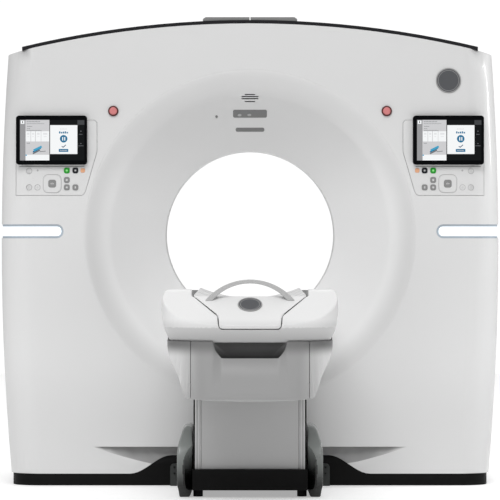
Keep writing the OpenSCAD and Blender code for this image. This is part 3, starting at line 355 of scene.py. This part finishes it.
MATERIALS = {
    # cover_white: painted shade darkens the cover towards its top and towards the floor
    "cover_white": moulded("cover_white", grey(221), 0.40, coat=0.25,
                           fades=[("Z", 1.2, 1.8, grey(212)), ("Z", 0.6, 0.25, grey(214))]),
    # funnel_white: painted light makes the funnel lighter deeper in, and painted shade darkens its top
    "funnel_white": moulded("funnel_white", grey(220), 0.40,
                            fades=[("Y", FACE_Y, FACE_Y + 0.08, grey(247)),
                                   ("Z", BORE_Z + 0.1, BORE_Z + 0.62, grey(216))]),
    # table_white: painted shade darkens it below the crease at the table's foot end
    "table_white": moulded("table_white", grey(225), 0.34,
                           fades=[("Z", CREASE_Z + 0.035, CREASE_Z, grey(206))]),
    # belly_grey_light_and_shade: the belly's grey, with painted light making it lighter towards its
    # sides and a painted shadow just under the bezel
    "belly_grey_light_and_shade": moulded("belly_grey_light_and_shade", grey(148), 0.45,
                          fades=[("X", side * 0.18, side * 0.32, grey(224)) for side in (-1, 1)]
                          + [("Z", 0.62, 0.672, grey(112))]),
    # band_painted_shade: painted shade on the band under the crease, darker towards the bottom
    "band_painted_shade": moulded("band_painted_shade", grey(188), 0.4, fades=[("Z", CREASE_Z, 0.69, grey(173))]),
    "panel_white": moulded("panel_white", grey(218), 0.46),
    "cradle_shell": moulded("cradle_shell", grey(228), 0.30),
    "liner_film": moulded("liner_film", grey(226), 0.5),
    # scoop_painted_shade: painted shade in the foot scoop's undercut, fading to the cover's white
    # towards its ends
    "scoop_painted_shade": moulded("scoop_painted_shade", grey(156), 0.5,
                          fades=[("Z", 0.135, 0.165, grey(178))]
                          + [("X", side * 0.50, side * 0.74, grey(222)) for side in (-1, 1)]),
    "column_grey": painted("column_grey", grey(181), 0.45),
    "column_light": painted("column_light", grey(206), 0.4),
    # recess_painted_shade: painted shade in the grip recess, darkest at its bottom
    "recess_painted_shade": moulded("recess_painted_shade", grey(24), 0.4, specular=0.1,
                            fades=[("Z", 0.606, RECESS_HIGH, grey(158))]),
    "black_trim": textured("black_trim", grey(20), 0.5),
    "top_black": textured("top_black", tone(38, 38, 40), 0.45),
    "vent_grey": textured("vent_grey", grey(134), 0.5),
    "fender_grey": moulded("fender_grey", tone(26, 28, 27), 0.25, coat=0.25,
                           fades=[("Z", 0.04, 0.18, tone(134, 138, 136))]),
    # fender_hollow_shade: painted shade in the ball-shaped hollow of each fender's nose
    "fender_hollow_shade": moulded("fender_hollow_shade", tone(10, 11, 10), 0.25, coat=0.2,
                             fades=[("Z", 0.08, 0.23, tone(104, 108, 106))]),
    "dock_grey": textured("dock_grey", tone(66, 68, 67), 0.5),
    "display_black": moulded("display_black", tone(9, 10, 12), 0.3, depth=0.00001, specular=0.05),
    "screen_glass": moulded("screen_glass", tone(7, 8, 10), 0.15, depth=0.000004, specular=0.05),
    "light_lens": lit("light_lens", (0.94, 0.98, 1.0), 1.3),
    "light_border": moulded("light_border", tone(172, 182, 192), 0.5),
    "key_green": moulded("key_green", tone(44, 150, 50), 0.5, specular=0.15),
    "key_grey": moulded("key_grey", grey(138), 0.5, specular=0.15),
    "key_dark": moulded("key_dark", tone(34, 35, 40), 0.5, specular=0.1),
    "key_light": moulded("key_light", grey(206), 0.5),
    "key_mark": moulded("key_mark", grey(206), 0.5),
    "key_mark_green": moulded("key_mark_green", tone(146, 232, 140), 0.45),
    "film_line": moulded("film_line", grey(178), 0.5),
    # display_shadow_grey: painted shadow under each display
    "display_shadow_grey": moulded("display_shadow_grey", grey(140), 0.5),
    "lamp_orange": moulded("lamp_orange", tone(228, 172, 136), 0.4, specular=0.15),
    "window_grey": moulded("window_grey", grey(124), 0.3, specular=0.2),
    "window_lens": moulded("window_lens", grey(176), 0.2, specular=0.3),
    "slot_dark": textured("slot_dark", grey(60), 0.7),
    "stop_dark": moulded("stop_dark", tone(88, 46, 44), 0.35, specular=0.15),
    "stop_pink": moulded("stop_pink", tone(206, 128, 128), 0.5, specular=0.15),
    "badge_metal": textured("badge_metal", tone(84, 85, 88), 0.4, specular=0.2),
    "badge_rim": textured("badge_rim", grey(150), 0.35, specular=0.3),
    "handle_grey": moulded("handle_grey", grey(178), 0.3),
    "stage_metal": brushed("stage_metal", grey(180), 0.3),
    "frame_steel": painted("frame_steel", tone(120, 126, 132), 0.5),
    "cast_alloy": brushed("cast_alloy", grey(176), 0.42, (1, 1, 1)),
    "bright_steel": brushed("bright_steel", grey(190), 0.25, (0.1, 1, 0.1)),
    "tube_metal": brushed("tube_metal", tone(146, 148, 152), 0.38, (1, 0.06, 1)),
    "unit_alloy": painted("unit_alloy", tone(128, 134, 140), 0.45),
    "brass_track": brushed("brass_track", tone(212, 176, 96), 0.3, (1, 0.05, 1)),
    "belt_rubber": textured("belt_rubber", grey(30), 0.75, 0.0003),
    "screen_black": lit("screen_black", tone(22, 24, 25), 1.0),
    "screen_slate": lit("screen_slate", tone(68, 70, 72), 1.0),
    "screen_column": lit("screen_column", tone(152, 152, 154), 1.0),
    "screen_pale": lit("screen_pale", tone(204, 204, 206), 1.0),
    "screen_line": lit("screen_line", tone(146, 147, 150), 1.0),
    "screen_white": lit("screen_white", tone(243, 245, 246), 1.0),
    "screen_soft": lit("screen_soft", tone(226, 227, 229), 1.0),
    "screen_blue": lit("screen_blue", tone(42, 112, 150), 1.0),
    "screen_ink": lit("screen_ink", tone(62, 84, 112), 1.0),
    "screen_cyan": lit("screen_cyan", tone(70, 160, 196), 1.0),
    "screen_steel": lit("screen_steel", tone(112, 114, 118), 1.0),
}


def deselect():
    bpy.ops.object.select_all(action="DESELECT")


def select(*pieces):
    deselect()
    for piece in pieces:
        piece.select_set(True)
    bpy.context.view_layer.objects.active = pieces[0]


def apply_modifier(piece, kind, **settings):
    modifier = piece.modifiers.new(kind.lower(), kind)
    for name, value in settings.items():
        setattr(modifier, name, value)
    select(piece)
    bpy.ops.object.modifier_apply(modifier=modifier.name)


def paint(piece, material):
    piece.data.materials.clear()
    piece.data.materials.append(MATERIALS[material])


def paint_where(piece, material, chosen):
    """Gives the faces whose centre and normal are chosen another material."""
    piece.data.materials.append(MATERIALS[material])
    index = len(piece.data.materials) - 1
    for face in piece.data.polygons:
        if chosen(face.center, face.normal):
            face.material_index = index


def smooth(piece, degrees):
    select(piece)
    bpy.ops.object.shade_smooth_by_angle(angle=math.radians(degrees))


def settle(piece, body):
    """Puts a finished piece on its body, with its place in its mesh."""
    select(piece)
    bpy.ops.object.transform_apply(location=True, rotation=True, scale=True)
    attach(piece, body)
    return piece


def block(name, low, high, material):
    """A box between two corners."""
    low, high = Vector(low), Vector(high)
    deselect()
    bpy.ops.mesh.primitive_cube_add(size=1, location=(low + high) / 2)
    piece = bpy.context.object
    piece.name = name
    piece.scale = high - low
    bpy.ops.object.transform_apply(location=True, rotation=True, scale=True)
    paint(piece, material)
    return piece


def round_along(piece, axis, radius, segments=6):
    """Rounds a box's edges that run along one axis."""
    select(piece)
    bpy.ops.object.mode_set(mode="EDIT")
    mesh = bmesh.from_edit_mesh(piece.data)
    for edge in mesh.edges:
        run = edge.verts[1].co - edge.verts[0].co
        edge.select_set(run.length > 1e-6 and abs(run[axis]) > 0.99 * run.length)
    bmesh.update_edit_mesh(piece.data)
    bpy.ops.mesh.bevel(offset=radius, segments=segments, affect="EDGES")
    bpy.ops.object.mode_set(mode="OBJECT")


def soften(piece, width):
    apply_modifier(piece, "BEVEL", width=width, segments=2, limit_method="ANGLE",
                   angle_limit=math.radians(BEVEL_ANGLE))
    smooth(piece, SOFT_ANGLE)


def drum(name, centre, radius, depth, material, sides=48, tilt=(90, 0, 0)):
    """A disc or rod whose axis is tilted from upright."""
    deselect()
    bpy.ops.mesh.primitive_cylinder_add(
        vertices=sides, radius=radius, depth=depth, location=centre,
        rotation=[math.radians(angle) for angle in tilt])
    piece = bpy.context.object
    piece.name = name
    bpy.ops.object.transform_apply(location=True, rotation=True, scale=True)
    paint(piece, material)
    return piece


def surface_at(carrier, start):
    """Where a line along +Y first meets a piece, and the tilt of a disc that lies there."""
    bpy.context.view_layer.update()
    place, normal = carrier.ray_cast(Vector(start), Vector((0, 1, 0)))[1:3]
    return place, (math.degrees(math.atan2(-normal.y, normal.z)), 0, 0)


def strip(name, centre, width, height, depth, material, tilt=0.0):
    """A thin bar on a face that looks towards -Y, turned in that face."""
    deselect()
    bpy.ops.mesh.primitive_cube_add(size=1, location=centre,
                                    rotation=(0, math.radians(tilt), 0),
                                    scale=(width, depth, height))
    piece = bpy.context.object
    piece.name = name
    bpy.ops.object.transform_apply(location=True, rotation=True, scale=True)
    paint(piece, material)
    return piece


def join(name, pieces):
    select(*pieces)
    if len(pieces) > 1:
        bpy.ops.object.join()
    piece = bpy.context.object
    piece.name = name
    return piece


def merged_copy(node, material, flatten=False):
    """A copy of a CAD node with its loose triangles joined."""
    piece = bpy.data.objects.new(node + "_finished", frame["nodes"][node].data.copy())
    bpy.context.scene.collection.objects.link(piece)
    select(piece)
    bpy.ops.object.mode_set(mode="EDIT")
    bpy.ops.mesh.select_all(action="SELECT")
    bpy.ops.mesh.remove_doubles(threshold=JOIN_DISTANCE)
    if flatten:
        bpy.ops.mesh.dissolve_limited(angle_limit=math.radians(FLAT_ANGLE))
    bpy.ops.object.mode_set(mode="OBJECT")
    paint(piece, material)
    return piece


def stand_for(piece, node):
    """Puts a finished copy in its CAD node's place."""
    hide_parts(node)
    return settle(piece, frame["nodes"][node]["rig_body"])


def refine(node, material, edge=0.0):
    """A merged and smoothed copy of a CAD node, its edges bevelled where edge gives a width."""
    piece = merged_copy(node, material, flatten=edge > 0)
    if edge:
        apply_modifier(piece, "BEVEL", width=edge, segments=2, limit_method="ANGLE",
                       angle_limit=math.radians(BEVEL_ANGLE), use_clamp_overlap=True)
    smooth(piece, SMOOTH_ANGLE)
    apply_modifier(piece, "WEIGHTED_NORMAL", keep_sharp=True)
    return stand_for(piece, node)


def sculpt(node, material, grid, rounds):
    """A closely remeshed copy of a CAD node with softly rounded edges, which stands for it."""
    piece = merged_copy(node, material)
    apply_modifier(piece, "REMESH", mode="VOXEL", voxel_size=grid)
    apply_modifier(piece, "SMOOTH", factor=0.5, iterations=rounds)
    select(piece)
    bpy.ops.object.shade_smooth()
    return stand_for(piece, node)


def drape(piece, form):
    """Shades the faces of a piece that lie along a smooth form as the form curves."""
    skin = form.data
    tree = BVHTree.FromPolygons([v.co for v in skin.vertices], [p.vertices for p in skin.polygons])
    mesh = piece.data
    directions = [corner.vector.copy() for corner in mesh.corner_normals]
    for face in mesh.polygons:
        for corner in face.loop_indices:
            place = mesh.vertices[mesh.loops[corner].vertex_index].co
            near, normal, index = tree.find_nearest(place, SHADE_REACH)[:3]
            if near is None or normal.dot(face.normal) < 0.6:
                continue
            ring = [skin.vertices[i] for i in skin.polygons[index].vertices]
            shares = poly_3d_calc([v.co for v in ring], near)
            blend = sum((v.normal * share for v, share in zip(ring, shares)), Vector())
            directions[corner] = blend.normalized()
    mesh.normals_split_custom_set(directions)


def make_floor():
    deselect()
    bpy.ops.mesh.primitive_circle_add(vertices=96, radius=13, fill_type="NGON",
                                      location=(0, 0, -0.001))
    floor = bpy.context.object
    floor.name = "studio_floor"
    finish = Finish("studio_floor", grey(228), 0.6, specular=0.1)
    finish.clouds(0.6, 0.008)
    finish.grain(60, 0.00005)
    finish.glow((1, 1, 1), 0.38)
    floor.data.materials.append(finish.material)


def make_studio():
    bpy.context.scene.view_settings.view_transform = "Standard"
    make_studio_sky(backdrop=1.05, horizon=0.46, zenith=0.87, side_fall=0.24, side_shift=0.15)
    make_area_light("high_key", (-1.1, -9.4, 8.8), (0, -0.5, 1.0), (6, 4), 520)
    make_area_light("rear_key", (0, 9, 9), (0, 0.5, 1.1), (6, 4), 120)
    make_area_light("right_edge", (3.4, 0.1, 2.3), (1.05, -0.3, 1.8), (0.12, 1.6), 30)
    make_floor()


# The gantry's covers and what is set into them
def make_covers():
    groove_low, groove_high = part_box("light_bars")
    light_z = (groove_low.z + groove_high.z) / 2
    cover = refine("front_cover", "cover_white")
    paint_where(cover, "light_border",
                lambda centre, normal: abs(centre.z - light_z) < BORDER_HALF
                and abs(centre.x) > BORDER_X)
    # The foot scoop's faces get painted shade
    paint_where(cover, "scoop_painted_shade",
                lambda centre, normal: centre.z < SCOOP_Z and abs(centre.x) < SCOOP_HALF
                and 0.001 < centre.y - FACE_Y < SCOOP_DEPTH)
    refine("front_funnel", "funnel_white")
    for node in ("rear_cover", "side_cover_left", "side_cover_right", "rear_funnel"):
        refine(node, "cover_white")
    refine("top_cover", "top_black")
    refine("vent_cap", "vent_grey")
    refine("base_skirt", "black_trim", edge=0.008)
    refine("light_bars", "light_lens")
    refine("bore_liner", "liner_film")
    windows = refine("indicator_windows", "window_grey")
    paint_where(windows, "lamp_orange", lambda centre, normal: abs(centre.x) > 0.6)
    for side in SIDES:
        refine("control_panel_" + side, "panel_white")
        refine("display_" + side, "display_black", edge=0.0012)
        refine("stop_button_" + side, "stop_pink")
    refine("stop_collars", "stop_dark")
    refine("display_glass", "screen_glass")
    lenses = []
    for x, z in LENS_PLACES:
        place, tilt = surface_at(windows, (x, FACE_Y - 1, z))
        lenses.append(drum("window_lens", place, LENS_RADIUS, LENS_DEPTH, "window_lens", tilt=tilt))
    settle(join("window_lenses", lenses), "gantry")


# Lit picture on a display: places in millimetres from its upper left corner
PICTURE_W = 278
PICTURE_H = 175


class Picture:
    def __init__(self, side):
        low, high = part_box("display_" + side)
        self.left = (low.x + high.x) / 2 - PICTURE_W / 2000 + 0.003
        self.top = (low.z + high.z) / 2 + PICTURE_H / 2000 - 0.0005
        self.face = low.y
        self.bars = []

    def place(self, u, v, layer):
        return (self.left + u / 1000, self.face - 0.0002 * layer, self.top - v / 1000)

    def bar(self, u, v, w, h, layer, material, tilt=0.0):
        """A lit patch w by h with its middle at u and v."""
        self.bars.append(strip("patch", self.place(u, v, layer), w / 1000, h / 1000, 0.0002,
                               material, tilt))

    def spot(self, u, v, radius, layer, material):
        self.bars.append(drum("spot", self.place(u, v, layer), radius / 1000, 0.0002, material, 40))

    def words(self, u, v, w, h, layer, material, count):
        """A line of writing too small to read, as a row of short patches."""
        step = w / count
        for i in range(count):
            tall = h * (1.0, 0.72, 0.86)[i % 3]
            self.bar(u + (i + 0.5) * step, v + (h - tall) / 2, step * 0.72, tall, layer, material)


def make_picture(side):
    """Patient data on the left of the picture, the command panel in its middle."""
    p = Picture(side)
    p.bar(PICTURE_W / 2, PICTURE_H / 2, PICTURE_W, PICTURE_H, 0, "screen_black")
    p.bar(11.2, PICTURE_H / 2, 22.4, PICTURE_H, 1, "screen_column")
    p.bar(11.2, 9.8, 16, 15, 2, "screen_white")
    p.bar(11.2, 9.8, 3.6, 8, 3, "screen_slate")
    p.bar(75, PICTURE_H / 2, 104, PICTURE_H, 1, "screen_pale")
    for u, v, w, h, count in ((29, 7.2, 58, 4.4, 13), (29, 16, 76, 3, 18), (30, 27.8, 23, 4.2, 6),
                              (30, 37.6, 14, 3.8, 4), (29, 45.4, 64, 4, 15), (29, 100.8, 14, 4.4, 4)):
        p.words(u, v, w, h, 2, "screen_line", count)
    for u0, w in ((25.5, 20), (48, 17), (68, 22), (92, 34)):
        p.bar(u0 + w / 2, 71, w, 44, 2, "screen_white")
        p.bar(u0 + w / 2, 60, w * 0.55, 8, 3, "screen_soft")
        p.bar(u0 + w / 2, 72, w * 0.4, 3, 3, "screen_soft")
    p.bar(76.3, 123.4, 39, 9, 3, "screen_cyan", tilt=-26)
    p.bar(73, 130, 38, 6, 2, "screen_blue", tilt=-26)
    p.bar(71, 138, 34, 6, 2, "screen_steel", tilt=-26)
    p.bar(98, 136, 26, 2.6, 3, "screen_steel", tilt=-6)
    p.bar(75.5, 162.5, 102, 24, 2, "screen_white")
    p.bar(27, 152.4, 6, 5, 3, "screen_cyan")
    p.bar(189, 84.9, 117.6, 124.6, 1, "screen_white")
    p.words(172, 39, 31, 3, 2, "screen_pale", 7)
    p.words(167.5, 54, 41, 9, 2, "screen_blue", 5)
    p.spot(188.6, 81.5, 16.3, 2, "screen_blue")
    for u in (184.4, 193.4):
        p.bar(u, 81.5, 4.4, 15, 3, "screen_white")
    p.bar(183.4, 116.2, 9, 3.4, 2, "screen_ink", tilt=40)
    p.bar(192, 113.2, 17, 3.6, 2, "screen_ink", tilt=-40)
    p.bar(188, 131.8, 41, 12.6, 2, "screen_blue")
    p.words(172, 131.8, 31, 3.6, 3, "screen_pale", 8)
    p.bar(263, 11, 30, 20, 1, "screen_slate")
    for v, w in ((48.7, 7), (62.2, 13), (101.9, 6), (111.6, 22)):
        p.words(263 - w / 2, v, w, 3.2, 1, "screen_steel", max(1, int(w / 4)))
    picture = join("screen_picture_" + side, p.bars)
    settle(picture, "gantry")


# Keys, film keys and their marks
def flat_ring(name, centre, radius, width, material, tilt=(90, 0, 0)):
    """A low raised ring, on a face that looks towards -Y unless tilted."""
    deselect()
    bpy.ops.mesh.primitive_torus_add(major_segments=64, minor_segments=8, major_radius=radius,
                                     minor_radius=width / 2, location=centre,
                                     rotation=[math.radians(angle) for angle in tilt])
    piece = bpy.context.object
    piece.name = name
    bpy.ops.object.transform_apply(location=True, rotation=True, scale=True)
    bpy.ops.object.shade_smooth()
    paint(piece, material)
    return piece


def square_ring(name, centre, half, corner, width, material):
    """A low raised line round a square with rounded corners."""
    line = block(name, centre - Vector((half, 0.0003, half)), centre + Vector((half, 0.0003, half)),
                 material)
    round_along(line, 1, corner, 8)
    inner = half - width
    core = block("core", centre - Vector((inner, 0.002, inner)), centre + Vector((inner, 0.002, inner)),
                 material)
    round_along(core, 1, corner - width, 8)
    apply_modifier(line, "BOOLEAN", object=core, operation="DIFFERENCE", solver="EXACT")
    bpy.data.objects.remove(core)
    return line


def make_key_marks(side):
    looks = {"key_green": "key_green", "key_dark": "key_dark", "key_pad": "panel_white"}
    for key in SMALL_KEYS + ("key_pad",):
        node = f"{key}_{side}"
        refine(node, looks.get(key, "key_grey"), edge=0.0006)
        low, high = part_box(node)
        body = frame["nodes"][node]["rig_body"]
        centre = Vector(((low.x + high.x) / 2, low.y, (low.z + high.z) / 2))
        if key == "key_green":
            mark = drum(node + "_mark", centre, 0.0046, 0.0006, "key_mark_green")
        elif key == "key_dark":
            disc = drum(node + "_disc", centre, 0.0050, 0.0006, "key_grey")
            mark = join(node + "_mark", [disc, drum("dot", centre, 0.0024, 0.001, "key_light")])
        elif key == "key_pad":
            mark = make_pad_seat(node, centre + Vector((0, 0.0012, 0)))
        elif key == "key_in":
            mark = drum(node + "_mark", centre, 0.0046, 0.0006, "key_mark")
        elif key == "key_up":
            mark = strip(node + "_mark", centre, 0.0078, 0.0078, 0.0006, "key_mark", tilt=20)
        else:
            mark = strip(node + "_mark", centre, 0.0052, 0.0094, 0.0006, "key_mark")
        settle(mark, body)


def make_pad_seat(node, floor):
    """Grey rounded square in the table pad's recess, with a light eyebrow mark."""
    half = 0.0168
    seat = block(node + "_seat", floor - Vector((half, 0.0009, half)),
                 floor + Vector((half, 0, half)), "key_grey")
    round_along(seat, 1, 0.0075)
    face = floor - Vector((0, 0.001, 0))
    marks = [strip("brow", face + Vector((side * 0.0036, 0, 0.0012)), 0.0080, 0.0028, 0.0006,
                   "key_light", tilt=side * 22) for side in (-1, 1)]
    under = strip("under", face - Vector((0, 0, 0.0044)), 0.0120, 0.0016, 0.0004, "film_line")
    return join(node + "_mark", [seat, under] + marks)


def make_film_keys(side):
    """Flat round keys under the panel's film, the pad's line and a grey strip of painted shadow under
    the display.
    """
    sign = SIDES[side]
    rings = []
    for x, z in FILM_KEYS:
        place = (sign * x, FACE_Y, z)
        rings.append(flat_ring("film_ring", place, 0.0118, 0.0022, "film_line"))
        rings.append(drum("film_dot", place, 0.0058, 0.0006, "key_light"))
    lamp = (sign * FILM_LAMP[0], FACE_Y, FILM_LAMP[1])
    rings.append(drum("film_lamp", lamp, 0.0042, 0.0006, "film_line"))
    pad_low, pad_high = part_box("key_pad_" + side)
    pad = Vector(((pad_low.x + pad_high.x) / 2, FACE_Y, (pad_low.z + pad_high.z) / 2))
    rings.append(square_ring("pad_line", pad, 0.0405, 0.0225, 0.0022, "film_line"))
    low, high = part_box("display_" + side)
    # A grey strip stands for the display's shadow on the panel: painted shadow
    rings.append(strip("display_shadow_strip", ((low.x + high.x) / 2, FACE_Y, low.z - 0.0078),
                       high.x - low.x - 0.026, 0.0036, 0.0024, "display_shadow_grey"))
    settle(join("film_keys_" + side, rings), "gantry")


def make_plate(name, place, tilt, radius, body):
    """A bare round plate with a raised rim."""
    out = Vector((0, -math.sin(math.radians(tilt[0])), math.cos(math.radians(tilt[0]))))
    plate = drum(name + "_plate", place, radius - 0.002, 0.005, "badge_metal", 64, tilt)
    rim = flat_ring(name + "_rim", place + out * 0.0015, radius - 0.003, 0.0055, "badge_rim", tilt)
    inner = flat_ring(name + "_inner", place + out * 0.0024, radius - 0.0105, 0.0022, "badge_rim", tilt)
    settle(join(name, [plate, rim, inner]), body)


def make_badges(cap):
    """The round plates on the gantry and on the table's end cap, both left bare."""
    spot = Vector((GANTRY_BADGE[0], FACE_Y - 0.001, GANTRY_BADGE[1]))
    make_plate("gantry_badge", spot, (90, 0, 0), GANTRY_BADGE_RADIUS, "gantry")
    place, tilt = surface_at(cap, (0, FACE_Y - 4, TABLE_BADGE_Z))
    make_plate("table_badge", place, tilt, TABLE_BADGE_RADIUS, "cradle")


# The patient table
def bend(points, steps):
    """A smooth line through points, each a tuple of numbers."""
    line = []
    for i in range(len(points) - 1):
        a, b, c, d = (Vector(points[min(max(i + k, 0), len(points) - 1)]) for k in (-1, 0, 1, 2))
        for step in range(steps):
            t = step / steps
            line.append(0.5 * (2 * b + (c - a) * t + (2 * a - 5 * b + 4 * c - d) * t ** 2
                               + (3 * b - a - 3 * c + d) * t ** 3))
    return line + [Vector(points[-1])]


def belly_form():
    """The smooth outer surface of the table's belly, from its rails to its keel."""
    low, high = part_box("table_side_right")
    panel_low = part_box("front_panel")[0]
    half = high.x
    keel = panel_low.z
    section = bend([(half - 0.003, 0.845), (half - 0.003, 0.80), (half - 0.001, 0.74),
                    (half, 0.69), (half - 0.003, 0.65), (half - 0.013, 0.612),
                    (half - 0.041, 0.556), (half - 0.053, 0.522), (half - 0.063, 0.491),
                    (half - 0.071, 0.477), (half - 0.086, keel + 0.012),
                    (half - 0.194, keel + 0.003), (0.02, keel)], 5)
    turns = [math.radians(90 * i / NOSE_STEPS) for i in range(-NOSE_STEPS, NOSE_STEPS + 1)]
    columns = len(turns) + 2
    deselect()
    bpy.ops.mesh.primitive_grid_add(x_subdivisions=columns - 1, y_subdivisions=len(section) - 1)
    form = bpy.context.object
    vertices = form.data.vertices
    for row, (width, z) in enumerate(section):
        drop = max(0.0, keel + NOSE_EDGE - z)
        front = panel_low.y + NOSE_EDGE - math.sqrt(max(0.0, NOSE_EDGE ** 2 - drop ** 2))
        reach = NOSE_RUN * width / half
        for column in range(columns):
            turn = turns[min(max(column - 1, 0), len(turns) - 1)]
            across = math.copysign(abs(math.sin(turn)) ** NOSE_POWER, turn)
            along = 1 - math.cos(turn) ** NOSE_POWER
            y = high.y if column in (0, columns - 1) else front + reach * along
            vertices[row * columns + column].co = (width * across, y, z)
    form.data.update()
    return form


def close_joint(piece, level, rise):
    """Raises a rim that lies at a level, so that it closes on the piece above."""
    for vertex in piece.data.vertices:
        if abs(vertex.co.z - level) < 0.0005:
            vertex.co.z += rise


def make_belly():
    """Front panel and side covers of the table, shaded as one smooth form."""
    form = belly_form()
    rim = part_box("front_panel")[1].z
    # The belly's colour holds painted light towards its sides and painted shadow under the bezel
    panel = merged_copy("front_panel", "belly_grey_light_and_shade")
    covers = [merged_copy("table_side_" + side, "belly_grey_light_and_shade") for side in SIDES]
    for piece in [panel] + covers:
        close_joint(piece, rim, RIM_RISE)
        smooth(piece, BELLY_ANGLE)
        drape(piece, form)
    bpy.data.objects.remove(form)
    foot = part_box("front_panel")[0].y
    # The grip recess gets painted shade
    paint_where(panel, "recess_painted_shade", lambda centre, normal:
                abs(centre.x) < RECESS_HALF and RECESS_LOW < centre.z < RECESS_HIGH
                and centre.y > foot + RECESS_START)
    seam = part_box("table_side_right")[0].x
    paint_where(panel, "slot_dark", lambda centre, normal: abs(centre.x) > seam - 0.0022)
    stand_for(panel, "front_panel")
    for side, cover in zip(SIDES, covers):
        stand_for(cover, "table_side_" + side)


def make_fenders():
    """Glossy shoes beside the column, darker towards the floor; the ball-shaped hollow of each nose
    gets painted shade.
    """
    inner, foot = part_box("fender_right")[0].xy
    for side in SIDES:
        fender = sculpt("fender_" + side, "fender_grey", 0.0035, 14)

        def in_hollow(centre, normal):
            run = Vector((abs(centre.x) - inner + HOLLOW_INWARD, centre.y - foot + HOLLOW_FORWARD,
                          max(0.0, centre.z - HOLLOW_Z)))
            return abs(run.length - HOLLOW_RADIUS) < HOLLOW_BAND

        # Faces on the hollow get painted shade
        paint_where(fender, "fender_hollow_shade", in_hollow)


def make_table():
    bezel = sculpt("foot_bezel", "table_white", CLOSE_GRID, 6)
    # The band under the crease gets painted shade
    paint_where(bezel, "band_painted_shade",
                lambda centre, normal: centre.z < CREASE_Z and normal.z > -0.9)
    cap = sculpt("cradle_end_cap", "table_white", CLOSE_GRID, 6)
    make_badges(cap)
    refine("cradle", "cradle_shell")
    refine("cradle_handle", "handle_grey", edge=0.003)
    make_belly()
    make_fenders()
    refine("column_outer", "column_grey", edge=0.002)
    refine("column_mid", "stage_metal", edge=0.002)
    refine("column_inner", "stage_metal", edge=0.002)
    base = refine("table_base", "black_trim", edge=0.004)
    dock_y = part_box("fender_right")[1].y
    paint_where(base, "dock_grey", lambda centre, normal: centre.y > dock_y - 0.001)


def make_column_trim():
    """Bright and black guide strips on both sides of the column's front."""
    low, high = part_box("column_outer")
    base_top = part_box("table_base")[1].z
    for side, sign in SIDES.items():
        strips = []
        for inner, outer, depth, material in COLUMN_STRIPS:
            corners = sorted((sign * inner, sign * outer))
            strips.append(block("strip", (corners[0], low.y - STRIP_PROUD, base_top),
                                (corners[1], low.y + depth, high.z - STRIP_TOP_GAP), material))
        trim = join("column_strips_" + side, strips)
        soften(trim, 0.0008)
        settle(trim, "gantry")


def make_inner_parts():
    """What the covers hide keeps its own meshes and gets its finish."""
    looks = {row["node"]: row["material_slot"] for row in frame["record"]["subparts"]}
    for node, source in frame["nodes"].items():
        if not source.hide_render:
            source.data.materials.clear()
            source.data.materials.append(MATERIALS[looks[node]])


make_camera()
make_studio()
make_covers()
for side_name in SIDES:
    make_picture(side_name)
    make_key_marks(side_name)
    make_film_keys(side_name)
make_table()
make_column_trim()
make_inner_parts()
